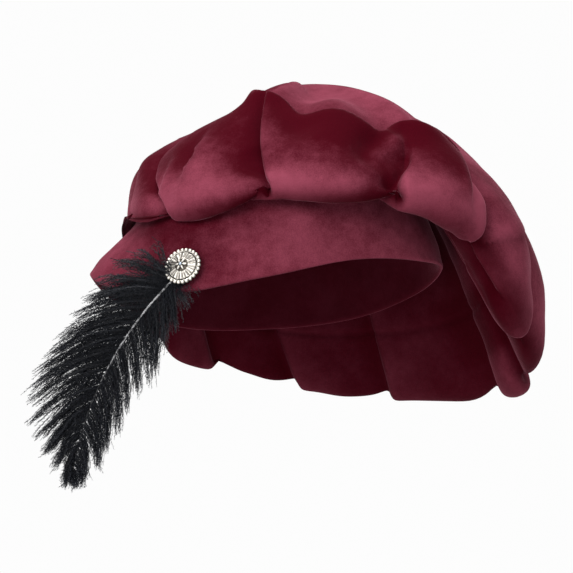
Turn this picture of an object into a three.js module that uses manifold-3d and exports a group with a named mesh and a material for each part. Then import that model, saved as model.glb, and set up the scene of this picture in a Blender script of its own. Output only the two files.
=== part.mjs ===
// A medieval beret: a gathered velvet crown on a folded velvet head band,
// with a round silver brooch and an ostrich plume at the wearer's left temple.
// Millimetres, +Z up. -X is the wearer's front, -Y the wearer's left.
// The origin is the middle of the head opening, level with the band's lower edge.
import * as THREE from 'three';
import { mergeVertices } from 'three/addons/utils/BufferGeometryUtils.js';
import Module from 'manifold-3d';

const GAP = 0.3;

// The band is an oval strip round the head
const HEAD_LENGTH = 200;
const HEAD_WIDTH = 164;
const BAND_WIDTH = 52;
const BAND_THICKNESS = 3;
const BAND_COLUMNS = 72;
const BAND_ROWS = 5;

// at: angle round the band, lift: height of the lower edge, lean: inward lean of the strip
const BAND_SECTIONS = [
  { at: 0, lift: 20, lean: 18 },
  { at: 30, lift: 13, lean: 12 },
  { at: 60, lift: 4, lean: 8 },
  { at: 90, lift: 0, lean: 8 },
  { at: 120, lift: -1, lean: 10 },
  { at: 150, lift: 8, lean: 22 },
  { at: 180, lift: 16, lean: 40 },
  { at: 210, lift: 2, lean: 30 },
  { at: 240, lift: -7, lean: 16 },
  { at: 270, lift: 0, lean: 10 },
  { at: 300, lift: 12, lean: 10 },
  { at: 330, lift: 17, lean: 14 },
];

// The crown is a slack round sheet, sewn along its underside to a ring of the same velvet,
// which is gathered into the band's upper edge
const CROWN_WALL = 1.5;
const CROWN_AXIS = { x: 35, y: 20 };
const CROWN_APEX = new THREE.Vector3(12, 18, 131);
const CROWN_ROWS = 25;
const ROW_CROWDING = 1.25;
const SEAM_ROW = 5;
const LOBE_COLUMNS = 6;
const LOBE_BULGE = 4;
const GATHER_RISE = 22;
const GATHER_SHARE = 0.6;

// at: angle round the axis. Each pair is a reach from the axis and a lift above the origin:
// roll is the lowest line of the overhang, rim the widest, ridge the shoulder, dome the top
const CROWN_SECTIONS = [
  { at: 0, roll: [100, -30], rim: [122, 12], ridge: [108, 58], dome: [70, 93] },
  { at: 30, roll: [100, -37], rim: [121, -4], ridge: [110, 45], dome: [72, 88] },
  { at: 60, roll: [100, -35], rim: [119, 0], ridge: [106, 50], dome: [70, 94] },
  { at: 90, roll: [102, -29], rim: [118, 4], ridge: [104, 55], dome: [68, 98] },
  { at: 120, roll: [107, -19], rim: [117, 10], ridge: [100, 60], dome: [66, 102] },
  { at: 150, roll: [113, -8], rim: [118, 22], ridge: [100, 70], dome: [64, 107] },
  { at: 180, roll: [116, 42], rim: [118, 60], ridge: [98, 90], dome: [62, 116] },
  { at: 208, roll: [118, 41], rim: [119, 57], ridge: [96, 90], dome: [60, 118] },
  { at: 228, roll: [118, 41], rim: [119, 56], ridge: [87, 102], dome: [55, 122] },
  { at: 244, roll: [114, 46], rim: [115, 62], ridge: [78, 112], dome: [44, 125] },
  { at: 257, roll: [109, 52], rim: [112, 67], ridge: [82, 97], dome: [42, 119] },
  { at: 274, roll: [108, 52], rim: [112, 66], ridge: [82, 98], dome: [40, 119] },
  { at: 291, roll: [109, 48], rim: [112, 62], ridge: [80, 88], dome: [42, 116] },
  { at: 304, roll: [109, 42], rim: [113, 58], ridge: [91, 88], dome: [48, 113] },
  { at: 320, roll: [106, 26], rim: [113, 50], ridge: [89, 82], dome: [56, 106] },
  { at: 336, roll: [98, -8], rim: [118, 34], ridge: [104, 64], dome: [68, 96] },
];

// A pleat's edge runs up the crown through the angles foot, rim and ridge.
// over: which side lies on top, 1 towards larger angles. It runs from level start to level end,
// where level 0 is the band, 1 the roll, 2 the rim, 3 the ridge, 4 the dome and 5 the apex
const PLEATS = [
  { name: 'back low', foot: -5, rim: 20, ridge: 30, over: 1, depth: 6, end: 2.2 },
  { name: 'right back', foot: 12, rim: 32, ridge: 40, over: -1, depth: 5, end: 2.0 },
  { name: 'right rear', foot: 62, rim: 72, ridge: 72, over: -1, depth: 4, end: 2.0 },
  { name: 'right middle', foot: 100, rim: 100, ridge: 98, over: -1, depth: 4, end: 2.0 },
  { name: 'right fore', foot: 128, rim: 128, ridge: 125, over: 1, depth: 4, end: 2.2 },
  { name: 'right front', foot: 152, rim: 152, ridge: 150, over: 1, depth: 4, end: 2.4 },
  { name: 'front', foot: 176, rim: 174, ridge: 174, over: 1, depth: 3, end: 2.6 },
  { name: 'brow', foot: 203, rim: 196, ridge: 184, over: 1, depth: 3, end: 2.6 },
  { name: 'temple', foot: 229, rim: 221, ridge: 198, over: 1, depth: 4, end: 3.0 },
  { name: 'left fore', foot: 252, rim: 254, ridge: 243, over: 1, depth: 5, end: 3.3 },
  { name: 'left rear', foot: 290, rim: 291, ridge: 299, over: 1, depth: 6, end: 2.4 },
  { name: 'left back', foot: 313, rim: 317, ridge: 321, over: -1, depth: 5, end: 2.8 },
  { name: 'back high', foot: 335, rim: 346, ridge: 350, over: -1, depth: 6, end: 1.9 },
];

// Dents and loose folds on the left side, laid out as that side is seen from
// a little below. path: points along the fold, as distance back and height.
// A step has one side on top, 1 for the side to the left of the path; a swell has side 0
const SIDE_TILT = THREE.MathUtils.degToRad(10.8);
const SIDE_DISTANCE = 1600;
const FOLDS = [
  { name: 'tube front', side: -1, depth: 3.5, width: 10, path: [[-61, 61], [-59, 71], [-53, 90]] },
  { name: 'tube back', side: -1, depth: 4.5, width: 10, path: [[-48, 71], [-44, 80], [-34, 99]] },
  { name: 'crest fore', side: 0, depth: 2.5, width: 6, path: [[-3, 124], [4, 122], [17, 110]] },
  { name: 'crest middle', side: 0, depth: 2.5, width: 6, path: [[24, 110], [46, 111], [65, 99]] },
  { name: 'crest rear', side: 0, depth: 2.5, width: 6, path: [[68, 99], [81, 105], [90, 103]] },
  { name: 'dip fore', side: 0, depth: -3.5, width: 10, path: [[17, 116], [24, 95]] },
  { name: 'dip rear', side: 0, depth: -4, width: 9, path: [[66, 105], [67, 98], [56, 80]] },
  { name: 'turned tube', side: 0, depth: 4, width: 7, path: [[58, 84], [66, 88], [83, 89]] },
  { name: 'pocket', side: 0, depth: -6, width: 8, path: [[66, 67], [73, 67]] },
  { name: 'back crest', side: 0, depth: 3, width: 6, path: [[120, 50], [131, 52], [152, 50]] },
  { name: 'back lip', side: 1, depth: 6, width: 9, path: [[120, 36], [131, 36], [156, 44]] },
  { name: 'back crease', side: 1, depth: 3, width: 10, path: [[118, 35], [126, 22], [137, 3]] },
];

// The brooch is a round fluted disc in a scalloped setting, pinned to the band
const BROOCH_ANGLE = 244;
const BROOCH_HEIGHT = 13;
const BROOCH_RADIUS = 10.2;
const BROOCH_SCALLOPS = 30;
const SCALLOP_DEPTH = 0.5;
const SETTING_THICKNESS = 2.4;
const SETTING_FLOOR = 0.9;
const FACE_RADIUS = 8.3;
const FACE_EDGE = 1.0;
const FACE_RISE = 1.3;
const FACE_FLUTES = 12;
const FLUTE_DEPTH = 0.35;
const STAR_RADIUS = 3.9;
const STAR_WAIST = 1.9;
const STAR_POINTS = 6;
const STAR_HEIGHT = 1.2;
const STAR_BEAD = 0.9;
const POST_RADIUS = 1.2;
const HOLE_RADIUS = 1.7;
const POST_HEAD_RADIUS = 3;
const POST_HEAD_THICKNESS = 0.8;

// The plume is an ostrich feather whose shaft bends in one round arc
const FEATHER_LENGTH = 133;
const FEATHER_START_HEADING = 223;
const FEATHER_END_HEADING = 265;
const FEATHER_BOW = 5;
const SHAFT_INSET = 5;
const SHAFT_RADIUS = 1.1;
const SHAFT_TIP_RADIUS = 0.4;
const SHAFT_SIDES = 10;
const SHAFT_STEPS = 26;
const SHAFT_SHARE = 0.93;

// at: share of the shaft's length. front and back are the plume's reach from its shaft
const VANE_SECTIONS = [
  { at: 0.11, front: 19, back: 12, thickness: 5 },
  { at: 0.22, front: 24, back: 22, thickness: 8 },
  { at: 0.35, front: 23, back: 25, thickness: 10 },
  { at: 0.5, front: 27, back: 25, thickness: 10 },
  { at: 0.65, front: 30, back: 22, thickness: 9 },
  { at: 0.8, front: 27, back: 18, thickness: 8 },
  { at: 0.9, front: 20, back: 14, thickness: 7 },
  { at: 1.0, front: 5, back: 5, thickness: 4 },
];
const VANE_STEPS = 26;

const velvet = new THREE.MeshStandardMaterial({ color: 0x5c1226, roughness: 0.85 });
const velvetBand = new THREE.MeshStandardMaterial({ color: 0x6e1c30, roughness: 0.85 });
const silver = new THREE.MeshStandardMaterial({ color: 0xd8cfc0, roughness: 0.3, metalness: 1 });
const plainSteel = new THREE.MeshStandardMaterial({ color: 0x9a9a9a, roughness: 0.4, metalness: 1 });
const plumeBlack = new THREE.MeshStandardMaterial({ color: 0x101114, roughness: 0.8 });
const quillGrey = new THREE.MeshStandardMaterial({ color: 0x8f8f92, roughness: 0.5 });

const wasm = await Module();
wasm.setup();

const radians = THREE.MathUtils.degToRad;

function smooth(from, to, value) {
  const share = THREE.MathUtils.clamp((value - from) / (to - from), 0, 1);
  return share * share * (3 - 2 * share);
}

// The value of a table's column at an angle, as a smooth curve that closes on itself
function around(table, column, degrees) {
  const turn = THREE.MathUtils.euclideanModulo(degrees, 360);
  const count = table.length;
  let index = count - 1;
  while (index > 0 && table[index].at > turn) index -= 1;
  const row = (step) => table[(index + step + count) % count];
  const angle = (step) => row(step).at + 360 * Math.floor((index + step) / count);
  const before = table[0].at > turn ? 360 : 0;
  const span = angle(1) - angle(0);
  const f = (turn + before - angle(0)) / span;
  const slopeHere = (column(row(1)) - column(row(-1))) / (angle(1) - angle(-1)) * span;
  const slopeNext = (column(row(2)) - column(row(0))) / (angle(2) - angle(0)) * span;
  const blend = f * f * (3 - 2 * f);
  return column(row(0)) * (1 - blend) + column(row(1)) * blend
    + slopeHere * f * (1 - f) * (1 - f) - slopeNext * f * f * (1 - f);
}

// The value of an open table's column at a share of its length
function along(table, column, share) {
  let index = 0;
  while (index < table.length - 2 && table[index + 1].at < share) index += 1;
  const from = table[index];
  const to = table[index + 1];
  return THREE.MathUtils.lerp(column(from), column(to), smooth(from.at, to.at, share));
}

// A closed body through rings of points. Its ends are closed by fans to a tip, or flat where
// the ring gives its outline, or it closes on itself
function skin(rings, closesOnItself = false) {
  const sides = rings[0].length;
  const positions = rings.flat().flatMap((point) => point.toArray());
  const faces = [];
  const last = closesOnItself ? rings.length : rings.length - 1;
  for (let ring = 0; ring < last; ring += 1) {
    const next = (ring + 1) % rings.length;
    for (let side = 0; side < sides; side += 1) {
      const other = (side + 1) % sides;
      const a = ring * sides + side;
      const b = ring * sides + other;
      const c = next * sides + other;
      const d = next * sides + side;
      faces.push(a, b, c, a, c, d);
    }
  }
  if (!closesOnItself) {
    for (const [ring, outward] of [[0, -1], [rings.length - 1, 1]]) {
      const { tip, outline } = rings[ring];
      const first = ring * sides;
      const caps = outline
        ? THREE.ShapeUtils.triangulateShape(outline, []).map((cap) => cap.map((side) => first + side))
        : rings[ring].map((_, side) => [first + side, first + (side + 1) % sides, positions.length / 3]);
      if (!outline) {
        const middle = new THREE.Vector3();
        for (const point of rings[ring]) middle.addScaledVector(point, 1 / sides);
        positions.push(...(tip ?? middle).toArray());
      }
      for (const [a, b, c] of caps) {
        if (outward > 0) faces.push(a, b, c);
        else faces.push(c, b, a);
      }
    }
  }
  const geometry = new THREE.BufferGeometry();
  geometry.setAttribute('position', new THREE.Float32BufferAttribute(positions, 3));
  geometry.setIndex(faces);
  geometry.computeVertexNormals();
  return geometry;
}

function toSolid(geometry) {
  const bare = geometry.clone();
  bare.deleteAttribute('normal');
  bare.deleteAttribute('uv');
  const merged = mergeVertices(bare, 1e-4);
  return new wasm.Manifold(new wasm.Mesh({
    numProp: 3,
    vertProperties: merged.attributes.position.array,
    triVerts: new Uint32Array(merged.index.array),
  }));
}

function toGeometry(solid) {
  const mesh = solid.getMesh();
  const geometry = new THREE.BufferGeometry();
  geometry.setAttribute('position', new THREE.BufferAttribute(mesh.vertProperties, 3));
  geometry.setIndex(new THREE.BufferAttribute(mesh.triVerts, 1));
  geometry.computeVertexNormals();
  return geometry;
}

// A point on the band's middle surface, and the way out of it
function bandPoint(degrees, height) {
  const angle = radians(degrees);
  const lift = around(BAND_SECTIONS, (row) => row.lift, degrees);
  const lean = radians(around(BAND_SECTIONS, (row) => row.lean, degrees));
  const level = new THREE.Vector3(Math.cos(angle) / HEAD_LENGTH, Math.sin(angle) / HEAD_WIDTH, 0).normalize();
  const point = new THREE.Vector3(HEAD_LENGTH / 2 * Math.cos(angle), HEAD_WIDTH / 2 * Math.sin(angle), lift);
  point.addScaledVector(level, -height * Math.sin(lean));
  point.z += height * Math.cos(lean);
  const out = level.clone().multiplyScalar(Math.cos(lean));
  out.z = Math.sin(lean);
  return { point, out, lift, lean };
}

function headBandGeometry() {
  const rings = [];
  for (let column = 0; column < BAND_COLUMNS; column += 1) {
    const degrees = 360 * column / BAND_COLUMNS;
    const outer = [];
    const inner = [];
    for (let row = 0; row <= BAND_ROWS; row += 1) {
      const { point, out } = bandPoint(degrees, BAND_WIDTH * row / BAND_ROWS);
      outer.unshift(point.clone().addScaledVector(out, BAND_THICKNESS / 2));
      inner.push(point.clone().addScaledVector(out, -BAND_THICKNESS / 2));
    }
    rings.push([...outer, ...inner]);
  }
  return skin(rings, true);
}

// The crown's smooth surface before its pleats, from the band (level 0) to the apex (level 5)
function crownStart(degrees) {
  const { point, out } = bandPoint(degrees, BAND_WIDTH + 3 * GAP);
  return point.addScaledVector(out, CROWN_WALL / 2);
}

function crownRing(name, degrees) {
  const angle = radians(degrees);
  const reach = around(CROWN_SECTIONS, (row) => row[name][0], degrees);
  const lift = around(CROWN_SECTIONS, (row) => row[name][1], degrees);
  return new THREE.Vector3(CROWN_AXIS.x + reach * Math.cos(angle), CROWN_AXIS.y + reach * Math.sin(angle), lift);
}

function crownBase(degrees, level) {
  const start = crownStart(degrees);
  const roll = crownRing('roll', degrees);
  const rise = GATHER_RISE + GATHER_SHARE * (start.z - roll.z);
  const before = roll.clone();
  before.z -= 2 * rise;
  const dome = crownRing('dome', degrees);
  const beyond = CROWN_APEX.clone().multiplyScalar(2).sub(dome);
  beyond.z = crownRing('dome', degrees + 180).z;
  const stops = [before, start, roll, crownRing('rim', degrees), crownRing('ridge', degrees), dome, CROWN_APEX, beyond];
  const index = Math.min(Math.floor(level), 4);
  const f = level - index;
  const [p0, p1, p2, p3] = stops.slice(index, index + 4);
  return p1.clone().multiplyScalar(2)
    .addScaledVector(p2, f).addScaledVector(p0, -f)
    .addScaledVector(p0, 2 * f * f).addScaledVector(p1, -5 * f * f)
    .addScaledVector(p2, 4 * f * f).addScaledVector(p3, -f * f)
    .addScaledVector(p1, 3 * f ** 3).addScaledVector(p0, -(f ** 3))
    .addScaledVector(p2, -3 * f ** 3).addScaledVector(p3, f ** 3)
    .multiplyScalar(0.5);
}

// The way out of the smooth surface, and how many millimetres a degree spans there
function crownFrame(degrees, level) {
  const turn = crownBase(degrees + 0.5, level).sub(crownBase(degrees - 0.5, level));
  const climb = crownBase(degrees, Math.min(level + 0.02, 5)).sub(crownBase(degrees, Math.max(level - 0.02, 0)));
  return { out: turn.clone().cross(climb).normalize(), perDegree: turn.length() };
}

function pleatAngle(pleat, level) {
  const low = THREE.MathUtils.lerp(pleat.foot, pleat.rim, smooth(0, 2, level));
  return THREE.MathUtils.lerp(low, pleat.ridge, smooth(1.6, 3.4, level));
}

// A sharp step that dies away on both sides
function stepProfile(distance, highReach, lowReach) {
  const sharp = Math.tanh((Math.abs(distance) + 0.3) / 1.2);
  if (distance >= 0) return sharp * Math.exp(-distance / highReach);
  return -sharp * Math.exp(distance / lowReach);
}

function pleatPush(degrees, level, perDegree) {
  let push = 0;
  for (const pleat of PLEATS) {
    const away = THREE.MathUtils.euclideanModulo(degrees - pleatAngle(pleat, level) + 180, 360) - 180;
    const distance = Math.abs(away) < 1e-6 ? 0 : away * perDegree * pleat.over;
    const depth = pleat.depth * smooth(0, 1.3, level) * (1 - smooth(pleat.end - 0.9, pleat.end, level));
    push += depth * stepProfile(distance, 14, 9);
  }
  return push;
}

// Where a point shows in the side view
function seenFromSide(point) {
  const scale = 1 / (1 + point.y / SIDE_DISTANCE);
  const height = point.z * Math.cos(SIDE_TILT) - point.y * Math.sin(SIDE_TILT);
  return new THREE.Vector2(point.x * scale, height * scale);
}

// Distance from a path, signed by side, and the share of the fold's depth left near its ends
function fromPath(spot, path) {
  let best = { distance: Infinity };
  let travelled = 0;
  for (let index = 0; index < path.length - 1; index += 1) {
    const from = new THREE.Vector2(...path[index]);
    const step = new THREE.Vector2(...path[index + 1]).sub(from);
    const length = step.length();
    step.normalize();
    const offset = spot.clone().sub(from);
    const run = THREE.MathUtils.clamp(offset.dot(step), 0, length);
    const distance = offset.clone().addScaledVector(step, -run).length();
    if (distance < best.distance) {
      best = { distance, side: Math.sign(step.cross(offset)), run: travelled + run };
    }
    travelled += length;
  }
  const ends = smooth(-3, 9, best.run) * smooth(-3, 9, travelled - best.run);
  return { ...best, ends };
}

function foldPush(point, out) {
  const facing = -(out.y * Math.cos(SIDE_TILT) + out.z * Math.sin(SIDE_TILT));
  const shown = smooth(0, 0.25, facing);
  if (shown === 0) return 0;
  const spot = seenFromSide(point);
  let push = 0;
  for (const fold of FOLDS) {
    const near = fromPath(spot, fold.path);
    const swell = Math.exp(-((near.distance / fold.width) ** 2));
    const step = stepProfile(near.distance * near.side * fold.side, 1.4 * fold.width, 0.9 * fold.width);
    push += fold.depth * near.ends * (fold.side === 0 ? swell : step);
  }
  return shown * push;
}

// How far a point of the crown has to move out so that its underside lies on the band, and
// its outer wall on that underside
function liftOffBand(point, level) {
  const turn = THREE.MathUtils.radToDeg(Math.atan2(point.y / HEAD_WIDTH, point.x / HEAD_LENGTH));
  const { lift, lean } = bandPoint(turn, 0);
  const height = (point.z - lift) / Math.cos(lean);
  if (height < -5) return new THREE.Vector3();
  const band = bandPoint(turn, height);
  const over = smooth(0.6, 1.0, level);
  const needed = BAND_THICKNESS / 2 + CROWN_WALL + 6 * GAP + over * (2 * CROWN_WALL + 5 * GAP);
  const offset = point.clone().sub(band.point).dot(band.out);
  const edge = BAND_WIDTH + 1;
  const near = smooth(0, 0.1, level) * (1 - smooth(edge, edge + 0.01 + 20 * over, height));
  return band.out.multiplyScalar(Math.max(0, needed - offset) * near);
}

// The angles of the columns round the crown, which crowd towards the pleats
function crownColumns(level) {
  return PLEATS.flatMap((pleat, index) => {
    const from = pleatAngle(pleat, level);
    const next = PLEATS[(index + 1) % PLEATS.length];
    const to = pleatAngle(next, level) + (index + 1 === PLEATS.length ? 360 : 0);
    return Array.from({ length: LOBE_COLUMNS }, (_, column) => {
      const even = column / LOBE_COLUMNS;
      const share = 0.85 * (0.5 - 0.5 * Math.cos(Math.PI * even)) + 0.15 * even;
      return { degrees: THREE.MathUtils.lerp(from, to, share), share };
    });
  });
}

// A point of the crown's outer wall, and the way out of it
function crownPoint({ degrees, share }, level) {
  const { out, perDegree } = crownFrame(degrees, level);
  const slack = smooth(0, 1, level) * (1 - smooth(2.6, 3.8, level));
  const bulge = slack * LOBE_BULGE * (Math.sin(Math.PI * share) ** 0.8 - 0.5);
  const point = crownBase(degrees, level);
  point.addScaledVector(out, bulge + pleatPush(degrees, level, perDegree));
  point.addScaledVector(out, foldPush(point, out));
  point.add(liftOffBand(point, level));
  return { point, out };
}

// How far a column's level stands back from the seam
function seamSetback(column, level) {
  const step = 0.05;
  const span = crownPoint(column, level + step).point.distanceTo(crownPoint(column, level - step).point);
  return GAP * step / span * 1.4;
}

// Outer and inner walls through the rings of these rows. side is 1 above the seam and -1 below
function crownWalls(firstRow, lastRow, side) {
  const outerRings = [];
  const innerRings = [];
  for (let row = firstRow; row <= lastRow; row += 1) {
    const ringLevel = 5 * (row / CROWN_ROWS) ** ROW_CROWDING;
    const outer = [];
    const inner = [];
    for (const column of crownColumns(ringLevel)) {
      const level = row === SEAM_ROW ? ringLevel + side * seamSetback(column, ringLevel) : ringLevel;
      const { point, out } = crownPoint(column, level);
      outer.push(point);
      inner.push(point.clone().addScaledVector(out, -CROWN_WALL));
    }
    outerRings.push(outer);
    innerRings.unshift(inner);
  }
  return { outerRings, innerRings };
}

function crownUnderGeometry() {
  const { outerRings, innerRings } = crownWalls(0, SEAM_ROW, -1);
  return skin([...innerRings, ...outerRings], true);
}

function crownTopGeometry() {
  const { outerRings, innerRings } = crownWalls(SEAM_ROW, CROWN_ROWS - 1, 1);
  outerRings[outerRings.length - 1].tip = CROWN_APEX;
  innerRings[0].tip = CROWN_APEX.clone().setZ(CROWN_APEX.z - CROWN_WALL);
  return skin([...innerRings, ...outerRings]);
}

// The brooch's own frame: x forward along the band, y up it, z out of it
function broochFrame() {
  const { point, out } = bandPoint(BROOCH_ANGLE, BROOCH_HEIGHT);
  const above = bandPoint(BROOCH_ANGLE, BROOCH_HEIGHT + 1).point;
  const up = above.sub(point);
  const side = up.clone().cross(out);
  return new THREE.Matrix4().makeBasis(side, up, out).setPosition(point);
}

const BROOCH_BACK = BAND_THICKNESS / 2 + 2 * SHAFT_RADIUS + 4 * GAP;
const frame = broochFrame();

function ringOf(radiusAt, heightAt, sides) {
  return Array.from({ length: sides }, (_, side) => {
    const angle = 2 * Math.PI * side / sides;
    const radius = radiusAt(angle);
    return new THREE.Vector3(radius * Math.cos(angle), radius * Math.sin(angle), heightAt(angle));
  });
}

function settingGeometry() {
  const scallop = (angle) => SCALLOP_DEPTH * Math.abs(Math.cos(BROOCH_SCALLOPS * angle / 2));
  const outline = (inset) => (angle) => BROOCH_RADIUS - inset + scallop(angle);
  const sides = BROOCH_SCALLOPS * 4;
  const top = SETTING_THICKNESS;
  const plate = skin([
    ringOf(outline(0.6), () => 0, sides),
    ringOf(outline(0), () => 0.6, sides),
    ringOf(outline(0), () => top - 0.6, sides),
    ringOf(outline(0.6), () => top, sides),
  ]);
  const recess = new THREE.CylinderGeometry(FACE_RADIUS + GAP, FACE_RADIUS + GAP, SETTING_THICKNESS, 48);
  recess.rotateX(Math.PI / 2);
  recess.translate(0, 0, SETTING_FLOOR + SETTING_THICKNESS / 2);
  return toGeometry(toSolid(plate).subtract(toSolid(recess)));
}

const FACE_BASE = SETTING_FLOOR + GAP;

function faceHeight(radius) {
  return FACE_BASE + FACE_EDGE + FACE_RISE * (1 - (radius / FACE_RADIUS) ** 2);
}

function faceGeometry() {
  const sides = FACE_FLUTES * 4;
  const flute = (radius) => (angle) => {
    const share = smooth(0.35 * FACE_RADIUS, 0.7 * FACE_RADIUS, radius);
    return faceHeight(radius) - FLUTE_DEPTH * share * (0.5 - 0.5 * Math.cos(FACE_FLUTES * angle));
  };
  const rings = [ringOf(() => FACE_RADIUS, () => FACE_BASE, sides)];
  for (const share of [1, 0.85, 0.7, 0.5, 0.3]) {
    const radius = share * FACE_RADIUS;
    rings.push(ringOf(() => radius, flute(radius), sides));
  }
  return skin(rings);
}

function starGeometry() {
  const sides = STAR_POINTS * 4;
  const spread = (angle) => 0.5 + 0.5 * Math.cos(STAR_POINTS * angle);
  const outline = (scale) => (angle) => scale * (STAR_WAIST + (STAR_RADIUS - STAR_WAIST) * spread(angle));
  const base = faceHeight(0) + GAP;
  return skin([
    ringOf(outline(1), () => base, sides),
    ringOf(outline(1), () => base + 0.4, sides),
    ringOf(outline(0.55), () => base + 0.7 * STAR_HEIGHT, sides),
    ringOf(() => STAR_BEAD, () => base + 0.6 * STAR_HEIGHT, sides),
    ringOf(() => 0.8 * STAR_BEAD, () => base + 0.5 * STAR_BEAD + 0.6 * STAR_HEIGHT, sides),
    ringOf(() => 0.3 * STAR_BEAD, () => base + STAR_HEIGHT, sides),
  ]);
}

function postGeometry() {
  const inside = -BAND_THICKNESS / 2 - 2 * GAP;
  const profile = [
    new THREE.Vector2(0, inside - POST_HEAD_THICKNESS),
    new THREE.Vector2(POST_HEAD_RADIUS, inside - POST_HEAD_THICKNESS),
    new THREE.Vector2(POST_HEAD_RADIUS, inside),
    new THREE.Vector2(POST_RADIUS, inside),
    new THREE.Vector2(POST_RADIUS, BROOCH_BACK - GAP),
    new THREE.Vector2(0, BROOCH_BACK - GAP),
  ];
  return new THREE.LatheGeometry(profile, 20).rotateX(Math.PI / 2);
}

// The band's hole for the post
function pierced(band) {
  const drill = new THREE.CylinderGeometry(HOLE_RADIUS, HOLE_RADIUS, 3 * BAND_THICKNESS, 20);
  drill.rotateX(Math.PI / 2);
  drill.applyMatrix4(frame);
  return toGeometry(toSolid(band).subtract(toSolid(drill)));
}

// The shaft's middle line is an arc in the side view that starts behind the brooch
const shaftDirection = new THREE.Vector3(
  Math.cos(radians(FEATHER_START_HEADING)),
  0,
  Math.sin(radians(FEATHER_START_HEADING)),
);
const shaftStart = new THREE.Vector3(0, 0, BAND_THICKNESS / 2 + GAP + SHAFT_RADIUS)
  .applyMatrix4(frame)
  .addScaledVector(shaftDirection, SHAFT_INSET);

function shaftPoint(share) {
  const from = radians(FEATHER_START_HEADING);
  const bend = radians(FEATHER_END_HEADING - FEATHER_START_HEADING);
  const radius = FEATHER_LENGTH / bend;
  const heading = from + bend * share;
  const bow = FEATHER_BOW * Math.sin(Math.PI * share);
  return shaftStart.clone().add(new THREE.Vector3(
    radius * (Math.sin(heading) - Math.sin(from)),
    bow,
    -radius * (Math.cos(heading) - Math.cos(from)),
  ));
}

// Across the feather in the side view, towards the front
function featherSide(share) {
  const heading = radians(THREE.MathUtils.lerp(FEATHER_START_HEADING, FEATHER_END_HEADING, share));
  return new THREE.Vector3(Math.sin(heading), 0, -Math.cos(heading));
}

const featherNear = new THREE.Vector3(0, -1, 0);

function shaftGeometry() {
  const rings = [];
  for (let step = 0; step <= SHAFT_STEPS; step += 1) {
    const share = SHAFT_SHARE * step / SHAFT_STEPS;
    const middle = shaftPoint(share);
    const side = featherSide(share);
    const radius = THREE.MathUtils.lerp(SHAFT_RADIUS, SHAFT_TIP_RADIUS, share);
    rings.push(Array.from({ length: SHAFT_SIDES }, (_, index) => {
      const angle = 2 * Math.PI * index / SHAFT_SIDES;
      return middle.clone()
        .addScaledVector(featherNear, radius * Math.cos(angle))
        .addScaledVector(side, radius * Math.sin(angle));
    }));
  }
  return skin(rings);
}

// The plume's outer form: two soft wings that meet behind the shaft, with a channel for it
function vaneGeometry() {
  const rings = [];
  const first = VANE_SECTIONS[0].at;
  for (let step = 0; step <= VANE_STEPS; step += 1) {
    const share = THREE.MathUtils.lerp(first, 1, step / VANE_STEPS);
    const middle = shaftPoint(share);
    const side = featherSide(share);
    const front = along(VANE_SECTIONS, (row) => row.front, share);
    const back = along(VANE_SECTIONS, (row) => row.back, share);
    const half = along(VANE_SECTIONS, (row) => row.thickness, share) / 2;
    const channel = THREE.MathUtils.lerp(SHAFT_RADIUS, SHAFT_TIP_RADIUS, share) + GAP;
    const outline = [
      [front, 0], [0.75 * front, -0.8 * half], [0.3 * front, -half],
      [-0.3 * back, -half], [-0.75 * back, -0.8 * half], [-back, 0],
      [-0.7 * back, 0.7 * half], [-1.3 * channel, 0.8 * half], [-channel, -1.2 * channel],
      [channel, -1.2 * channel], [1.3 * channel, 0.8 * half], [0.7 * front, 0.7 * half],
    ];
    const ring = outline.map(([across, near]) => middle.clone()
      .addScaledVector(side, across)
      .addScaledVector(featherNear, near));
    ring.outline = outline.map(([across, near]) => new THREE.Vector2(near, across));
    rings.push(ring);
  }
  return skin(rings);
}

function piece(name, geometry, material) {
  const mesh = new THREE.Mesh(geometry, material);
  mesh.name = name;
  return mesh;
}

const brooch = new THREE.Group();
brooch.applyMatrix4(frame);
brooch.add(piece('brooch_post', postGeometry(), plainSteel));
const broochFront = new THREE.Group();
broochFront.position.z = BROOCH_BACK;
broochFront.add(piece('brooch_setting', settingGeometry(), silver));
broochFront.add(piece('brooch_face', faceGeometry(), silver));
broochFront.add(piece('brooch_star', starGeometry(), silver));
brooch.add(broochFront);

const beret = new THREE.Group();
beret.add(piece('crown_top', crownTopGeometry(), velvet));
beret.add(piece('crown_under', crownUnderGeometry(), velvet));
beret.add(piece('head_band', pierced(headBandGeometry()), velvetBand));
beret.add(brooch);
beret.add(piece('feather_shaft', shaftGeometry(), quillGrey));
beret.add(piece('feather_vane', vaneGeometry(), plumeBlack));

export default beret;
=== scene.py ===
# A medieval beret of wine velvet, worn, with a silver brooch and a black ostrich plume.
import math

import bpy
import numpy as np
from mathutils import Matrix, Vector


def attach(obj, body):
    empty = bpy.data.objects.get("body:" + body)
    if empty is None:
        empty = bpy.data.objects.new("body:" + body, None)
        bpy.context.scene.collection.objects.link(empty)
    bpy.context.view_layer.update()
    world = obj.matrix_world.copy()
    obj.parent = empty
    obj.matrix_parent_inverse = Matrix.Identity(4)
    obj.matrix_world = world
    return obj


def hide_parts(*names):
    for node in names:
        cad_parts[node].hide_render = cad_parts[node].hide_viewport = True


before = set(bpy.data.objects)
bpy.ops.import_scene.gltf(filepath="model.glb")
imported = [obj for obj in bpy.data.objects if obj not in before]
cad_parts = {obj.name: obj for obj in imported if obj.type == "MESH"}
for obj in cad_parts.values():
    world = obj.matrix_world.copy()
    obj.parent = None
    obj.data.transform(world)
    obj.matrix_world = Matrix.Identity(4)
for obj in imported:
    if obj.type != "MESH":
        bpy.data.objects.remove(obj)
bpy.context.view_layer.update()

MM = 0.001
HEAD_LENGTH = 200.0
HEAD_WIDTH = 164.0
BAND_WIDTH = 52.0
BAND_THICKNESS = 3.0
BAND_COLUMNS = 420
BAND_ROWS = 30
BAND_LAP_ANGLE = 238.5
BAND_LAP_INSIDE_ANGLE = 121.0
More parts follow.
